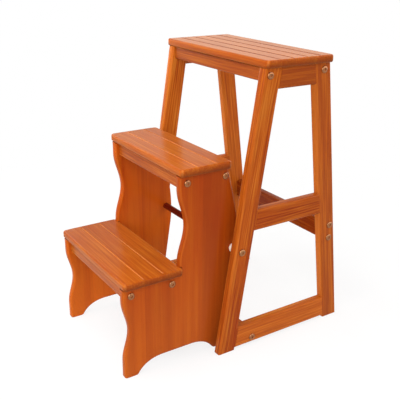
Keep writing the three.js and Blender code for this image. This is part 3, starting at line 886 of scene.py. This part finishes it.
def arch_half(foot_y, inwards):
    """Half of the arch, from a foot's inner corner up to the crown. Inwards is 1 or -1."""
    shares = np.array([(0, 0), arch_start_shares, arch_crown_shares, (1, 1)])
    return bezier(*(shares * [inwards * arch_shoulder, arch_height] + [foot_y, 0]))


def panel_strands(node):
    """The outline as strands of points in Y and Z, each with the radius of its edge: first up the
    front and over the seats of the treads, then down the back and through the arch."""
    _, y, z = node_points(node).T
    toe_y, shoulder_z = y.min(), z.max()
    heel_y = y[z < level_tolerance].max()
    shoulder_y = y[z > shoulder_z - level_tolerance].max()
    seat_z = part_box("lower_tread_board_1")[0].z - board_gap
    ledge_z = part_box("lower_tread_board_3")[1].z + board_gap
    ledge_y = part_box("lower_tread_board_3")[1].y + board_gap
    upper_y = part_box("middle_tread_board_1")[0].y
    knee = np.array([heel_y + heel_slope * knee_height, knee_height])
    shoulder = np.array([shoulder_y, shoulder_z])
    below_shoulder = shoulder + back_handle * np.array([back_slope, -1])
    above_knee = knee + back_handle * np.array([heel_slope, 1])
    inner_heel = heel_y - foot_width
    inner_toe = toe_y + foot_width
    rear_arch = arch_half(inner_heel, -1)
    front_arch = arch_half(inner_toe, 1)[::-1]
    seats = [(toe_y, seat_z), (ledge_y, seat_z), (ledge_y, ledge_z), (upper_y, ledge_z)]
    return [
        (straight((toe_y, 0), (toe_y, lower_waist[1])), panel_edge),
        (waist(toe_y, *lower_waist), panel_edge),
        (straight((toe_y, lower_waist[2]), seats[0]), panel_edge),
        (straight(*seats), seat_edge),
        (straight(seats[-1], (upper_y, upper_waist[1])), panel_edge),
        (waist(upper_y, *upper_waist), panel_edge),
        (straight((upper_y, upper_waist[2]), (upper_y, shoulder_z)), panel_edge),
        (straight((upper_y, shoulder_z), shoulder), seat_edge),
        (bezier(shoulder, below_shoulder, above_knee, knee), panel_edge),
        (straight(knee, (heel_y, 0)), panel_edge),
        (straight((heel_y, 0), (inner_heel, 0)), foot_edge),
        (rear_arch, panel_edge),
        (straight(rear_arch[-1], front_arch[0]), panel_edge),
        (front_arch, panel_edge),
        (straight((inner_toe, 0), (toe_y, 0)), foot_edge),
    ]


# %% Carry the outline over the panel's edge
outline_spacing = 1.2 * MM
shortest_step = 1e-9
corner_softness = 2.4 * MM
radius_softness = 3.5 * MM
seat_reach = 2.5
# Each panel's tone is painted light: the left one is drawn lighter, as its inner face stands in shade.
panel_painted_light = {"left": 1.22, "right": 0.94}
# How much lighter and more golden the panel is drawn towards the feet: painted light from the white
# floor.
foot_painted_light = 1.3
fade_height = 0.75


def softened(values, width, weight):
    """A closed row of values, mixed by weight with its own Gaussian blur of that width."""
    reach = np.arange(len(values))
    steps = np.minimum(reach, len(values) - reach)
    bell = np.exp(-0.5 * (steps * outline_spacing / width) ** 2)
    spectrum = np.fft.fft(bell / bell.sum())[:, None] * np.fft.fft(values, axis=0)
    return values + weight * (np.fft.ifft(spectrum, axis=0).real - values)


def even_outline(node):
    """The outline cut into even steps, and the radius of its edge at each. Its corners are softened
    where they are free, but not at the seats of the treads."""
    values = np.concatenate([np.insert(line, 2, r, axis=1) for line, r in panel_strands(node)])
    step = np.linalg.norm(np.diff(values, axis=0, append=values[:1])[:, :2], axis=1)
    keep = step > shortest_step
    place = np.cumsum(step[keep])
    even = np.linspace(0, place[-1], round(place[-1] / outline_spacing), endpoint=False)
    y, z, radius = (
        np.interp(even, place - step[keep], column, period=place[-1]) for column in values[keep].T
    )
    at_seat = softened((radius[:, None] == seat_edge).astype(float), radius_softness, 1)
    is_free = np.clip(1 - seat_reach * at_seat, 0, 1)
    radius = np.minimum(softened(radius[:, None], radius_softness, 1), panel_edge)
    return softened(np.stack([y, z], axis=1), corner_softness, is_free), radius


def side_panel(node, tone):
    """A side panel. The outline's normal is its tangent turned a quarter, and each ring is the outline
    moved in along the normal."""
    line, radius = even_outline(node)
    tangent = np.roll(line, -1, axis=0) - np.roll(line, 1, axis=0)
    tangent /= np.linalg.norm(tangent, axis=1, keepdims=True)
    inward = np.stack([tangent[:, 1], -tangent[:, 0]], axis=1)
    turn = np.linspace(0, math.pi / 2, round_steps + 1)[:, None, None]
    drawn_in = np.concatenate([[radius + hold_width], radius * (1 - np.sin(turn))])
    fallen = np.concatenate([[0 * radius], radius * (1 - np.cos(turn))])
    moved = line + drawn_in * inward
    low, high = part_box(node)
    outer, inner = np.dstack([high.x - fallen, moved]), np.dstack([low.x + fallen, moved])
    rings = np.concatenate([outer, inner[::-1]])
    piece = closed_surface(node, rings)
    # Rounded edges are drawn lighter: sanding and painted highlight.
    near = rim_share(drawn_in[..., 0], radius[:, 0]) * (radius[:, 0] / panel_edge)
    # Lighter towards the feet, below fade_height: painted light from the floor.
    painted_floor_light = foot_painted_light * np.clip(1 - rings[..., 2] / (fade_height * high.z), 0, 1)
    sanding_and_painted_light = np.maximum(np.concatenate([near, near[::-1]]), painted_floor_light)
    # Edges across the grain are drawn darker: end-grain stain, and painted shade under the treads.
    cut = end_share(drawn_in[..., 0], radius[:, 0]) * inward[:, 1] ** 2
    end = np.concatenate([cut, cut[::-1]])
    give_grain(piece, rings, (0, 0, 1), (0, 1, 0), sanding_and_painted_light, end, tone)
    dress(piece, node, panel_wood)
    print(node, "has an outline of", len(line), "points")


for side, tone in panel_painted_light.items():
    side_panel(side + "_side_panel", tone)

# %% [markdown]
# ## Metal and plastic
# The connector screws are yellow zinc-plated steel with low domed heads and a hexagon socket. Their
# warm brown is partly the plating and partly painted reflection of the orange wood round them. The eye
# sees dull gold, brighter towards a softbox, with a dark hole. The two pivot bolts have a bronze
# coloured plating, and the inserts in the rod are turned brass. The spacers that keep the step unit
# off the stand are moulded nylon, cream white and slightly waxy.

# %% Metal and nylon materials
marks_per_metre = 900.0
marked_tone = 0.86
gloss_spread = (-0.08, 0.1)
clouds_per_metre = 300.0
clouded_tone = 0.9
nylon_relief = 0.05 * MM
nylon_relief_strength = 0.3


def mottled(tree, colour, per_metre, detail, darkest):
    """Noise in the piece's own coordinates, and the colour, which it darkens to a share at most."""
    place = add(tree, "TexCoord").outputs["Object"]
    noise = add(tree, "TexNoise", {"Vector": place, "Scale": per_metre, "Detail": detail}).outputs[0]
    tint = add(tree, "ValToRGB", {"Fac": noise})
    tint.color_ramp.elements[0].color = tuple(darkest * c for c in linear(colour)[:3]) + (1,)
    tint.color_ramp.elements[1].color = linear(colour)
    return noise, tint.outputs["Color"]


def plated_metal(name, colour, roughness):
    """A plated metal with fine handling marks: noise about a millimetre wide changes its gloss."""
    material, tree, output = new_material(name)
    marks, tint = mottled(tree, colour, marks_per_metre, detail=3.0, darkest=marked_tone)
    gloss = remapped(tree, marks, [roughness + change for change in gloss_spread])
    return surfaced(material, output, {"Base Color": tint, "Metallic": 1.0, "Roughness": gloss})


def moulded_nylon(name, colour):
    """Moulded nylon: waxy, with a faint cloudiness a few millimetres wide."""
    material, tree, output = new_material(name)
    cloud, tint = mottled(tree, colour, clouds_per_metre, detail=2.0, darkest=clouded_tone)
    relief = {"Height": cloud, "Distance": nylon_relief, "Strength": nylon_relief_strength}
    wax = {
        "Base Color": tint,
        "Normal": add(tree, "Bump", relief).outputs[0],
        "Roughness": 0.45,
        "IOR": 1.53,
        "Subsurface Weight": 0.15,
        "Subsurface Scale": 2 * MM,
    }
    return surfaced(material, output, wax)


# The screws' warm brown is partly yellow zinc and partly painted reflection of the wood round them.
zinc_and_painted_reflection = plated_metal("Yellow_zinc_with_painted_reflection", "A06C48", roughness=0.25)
bronze = plated_metal("Bronze_plated_steel", "A0714C", roughness=0.3)
brass = plated_metal("Turned_brass", "C9A24B", roughness=0.3)
nylon = moulded_nylon("Moulded_nylon", "F4E4D6")
print("metals and plastic:", zinc_and_painted_reflection.name, bronze.name, brass.name, nylon.name)

# %% [markdown]
# ## Screws, bolts, rod and spacers
# These are turned pieces: a circle of changing radius carried down an axis along X. Only the screw's
# socket isn't round: its ring is a hexagon, whose radius at angle t is the apothem over
# cos((t mod 60 degrees) - 30 degrees). The first rings line the socket, then the line climbs over the
# head's crown, a quarter of an ellipse, and down the shank.

# %% Turned pieces
full_turn = np.linspace(0, 2 * math.pi, 48, endpoint=False)
socket_apothem = 2.5 * MM
socket_depth = 2 * MM
lip_width = 0.5 * MM
lip_radius = 3.4 * MM
crown_start = 3.7 * MM
head_crown = 2.4 * MM
crown_turn = np.linspace(0, math.pi / 2, 9)
thread_taper = 1 * MM
# Height of the head and radius of the shank
screw_sizes = (3 * MM, 3.5 * MM)
bolt_sizes = (3.5 * MM, 3 * MM)


def turned(node, centre, x, radius, hollow=False):
    """Rings of that radius at the places x: (x, y + r cos t, z + r sin t). Radius may change with t."""
    radius = np.broadcast_to(radius, (len(x), len(full_turn)))
    x = np.broadcast_to(np.asarray(x)[:, None], radius.shape)
    y, z = centre[1] + radius * np.cos(full_turn), centre[2] + radius * np.sin(full_turn)
    rings = np.dstack([x, y, z])
    return closed_surface(node, rings, hollow), rings


def socket_screw(node, head_height, shank_radius, material, slot):
    """A screw or bolt with its head outside. Depths run inwards from the head's top, and the line goes
    from the socket's floor over the dome to the tip of the shank."""
    low, high = box_of(node)
    centre = (low + high) / 2
    side = math.copysign(1, centre[0])
    length = high[0] - low[0]
    top_x = centre[0] + side * length / 2
    head_radius = (high[1] - low[1]) / 2
    hexagon = socket_apothem / np.cos(np.mod(full_turn, math.pi / 3) - math.pi / 6)
    dome_radius = crown_start + (head_radius - crown_start) * np.sin(crown_turn)
    dome_depth = head_crown * (1 - np.cos(crown_turn))
    shank = [shank_radius] * 3 + [shank_radius - thread_taper]
    round_radii = [lip_radius, *dome_radius, head_radius, *shank]
    depth = [socket_depth, lip_width / 2, 0, *dome_depth, head_height, head_height]
    depth += [head_height + lip_width, length - thread_taper, length]
    radius = np.array([hexagon, hexagon] + [np.full(len(full_turn), r) for r in round_radii])
    x = top_x - side * np.array(depth)
    piece, _ = turned(node, centre, x, radius)
    dress(piece, node, material)


screw_nodes = [name for name in body_of if name.endswith("_screw")]
for name in screw_nodes:
    socket_screw(name, *screw_sizes, zinc_and_painted_reflection, "screw_steel")
for side in ("left", "right"):
    socket_screw(side + "_pivot_bolt", *bolt_sizes, bronze, "bolt_bronze")
print(len(screw_nodes), "screws and 2 bolts")

# %% Rod, spacers and inserts
rod_end_edge = 1 * MM
spacer_edge = 1 * MM
spacer_bore = 3.1 * MM
spacer_turn = np.linspace(0, math.pi / 2, 6)

low, high = box_of("pivot_rod")
x, inset = eased_ends(high[0] - low[0], rod_end_edge, board_spacing)
centre = (low + high) / 2
radius = ((high[2] - low[2]) / 2 - inset)[:, None]
rod, rings = turned("pivot_rod", centre, x + low[0], radius)
give_grain(rod, rings, (1, 0, 0), (0, 0, 1), 0)
dress(rod, "pivot_rod", rod_wood_painted_shade)

for side in ("left", "right"):
    low, high = box_of(side + "_spacer")
    centre, half = (low + high) / 2, (high - low) / 2
    outer_radius = half[2] - spacer_edge * (1 - np.sin(spacer_turn))
    outer_x = half[0] - spacer_edge * (1 - np.cos(spacer_turn))
    radius = np.concatenate([[spacer_bore], outer_radius, outer_radius[::-1], [spacer_bore]])
    x = centre[0] + np.concatenate([[half[0]], outer_x, -outer_x[::-1], [-half[0]]])
    spacer, _ = turned(side + "_spacer", centre, x, radius[:, None], hollow=True)
    dress(spacer, side + "_spacer", nylon)
    insert = frame["nodes"][side + "_rod_insert"].data
    insert.materials.clear()
    insert.materials.append(brass)

# %% [markdown]
# ## Last lines
# The view transform is the plain one, which shows a colour about as it is written.

# %% The view transform
bpy.context.scene.view_settings.view_transform = "Standard"
